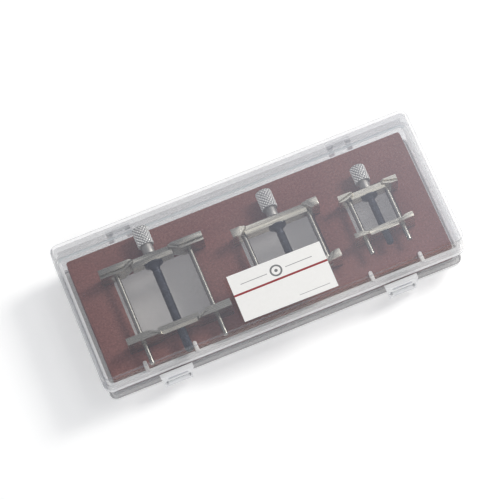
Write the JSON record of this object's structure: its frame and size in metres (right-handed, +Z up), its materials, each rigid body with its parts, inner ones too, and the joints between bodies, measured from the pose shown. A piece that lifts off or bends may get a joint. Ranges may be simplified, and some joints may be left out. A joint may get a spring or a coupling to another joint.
{
  "type": "boxed watch movement holder set",
  "caption": "Screw-adjusted nickel movement holders in large, medium and small, lying on a cut-out foam insert in a hinged frosted plastic case with front snap latches",
  "frame": {"origin": "centre of the flat underside of the case base, on the surface the case lies on", "axes": "+X along the long side of the case (right when the latches face the viewer), +Y toward the hinge side, +Z up through the lid"},
  "size_m": [0.18, 0.0809, 0.0293],
  "materials": {
    "frosted_case": "frosted translucent polypropylene",
    "frosted_lid": "frosted translucent polypropylene",
    "frosted_latch": "frosted translucent polypropylene, ribbed",
    "foam": "fine-cell brown foam",
    "label": "matte coated label stock with a dark red rule",
    "nickel_bar": "nickel plated, fine ground",
    "nickel_rod": "bright nickel plated",
    "nickel_knob": "bright nickel plated, diamond knurled head",
    "black_screw": "black oxide, semi-gloss"
  },
  "bodies": {
    "base": {"case_base": "frosted_case", "foam_insert": "foam", "large_fixed_jaw": "nickel_bar", "large_guide_rod_left": "nickel_rod", "large_guide_rod_right": "nickel_rod", "medium_fixed_jaw": "nickel_bar", "medium_guide_rod_left": "nickel_rod", "medium_guide_rod_right": "nickel_rod", "small_fixed_jaw": "nickel_bar", "small_guide_rod_left": "nickel_rod", "small_guide_rod_right": "nickel_rod"},
    "lid": {"case_lid": "frosted_lid", "label_card": "label"},
    "latch_left": {"latch_left": "frosted_latch"},
    "latch_right": {"latch_right": "frosted_latch"},
    "large_slider": {"large_sliding_jaw": "nickel_bar"},
    "large_screw": {"large_lead_screw": "black_screw", "large_knob": "nickel_knob"},
    "medium_slider": {"medium_sliding_jaw": "nickel_bar"},
    "medium_screw": {"medium_lead_screw": "black_screw", "medium_knob": "nickel_knob"},
    "small_slider": {"small_sliding_jaw": "nickel_bar"},
    "small_screw": {"small_lead_screw": "black_screw", "small_knob": "nickel_knob"}
  },
  "joints": [
    {"name": "lid_hinge", "type": "hinge", "parent": "base", "child": "lid", "pos_m": [0, 0.0391, 0.0142], "axis": [-1, 0, 0], "range_deg": [0, 110]},
    {"name": "latch_left_hinge", "type": "hinge", "parent": "lid", "child": "latch_left", "pos_m": [-0.056, -0.0381, 0.0136], "axis": [-1, 0, 0], "range_deg": [0, 80]},
    {"name": "latch_right_hinge", "type": "hinge", "parent": "lid", "child": "latch_right", "pos_m": [0.056, -0.0381, 0.0136], "axis": [-1, 0, 0], "range_deg": [0, 80]},
    {"name": "large_jaw_slide", "type": "slide", "parent": "base", "child": "large_slider", "axis": [0, 1, 0], "range_m": [-0.0055, 0.028]},
    {"name": "large_screw_spin", "type": "hinge", "parent": "base", "child": "large_screw", "pos_m": [-0.0469, 0, 0.021], "axis": [0, -1, 0], "range_deg": [-2642, 13442]},
    {"name": "medium_jaw_slide", "type": "slide", "parent": "base", "child": "medium_slider", "axis": [0, 1, 0], "range_m": [-0.001, 0.0205]},
    {"name": "medium_screw_spin", "type": "hinge", "parent": "base", "child": "medium_screw", "pos_m": [0.01315, 0, 0.021], "axis": [0, -1, 0], "range_deg": [-482, 9842]},
    {"name": "small_jaw_slide", "type": "slide", "parent": "base", "child": "small_slider", "axis": [0, 1, 0], "range_m": [-0.006, 0.0135]},
    {"name": "small_screw_spin", "type": "hinge", "parent": "base", "child": "small_screw", "pos_m": [0.05825, 0, 0.021], "axis": [0, -1, 0], "range_deg": [-2882, 6482]}
  ],
  "couplings": [
    {"joint": "large_screw_spin", "follows": "large_jaw_slide", "rad_per_m": 8377.6},
    {"joint": "medium_screw_spin", "follows": "medium_jaw_slide", "rad_per_m": 8377.6},
    {"joint": "small_screw_spin", "follows": "small_jaw_slide", "rad_per_m": 8377.6}
  ]
}
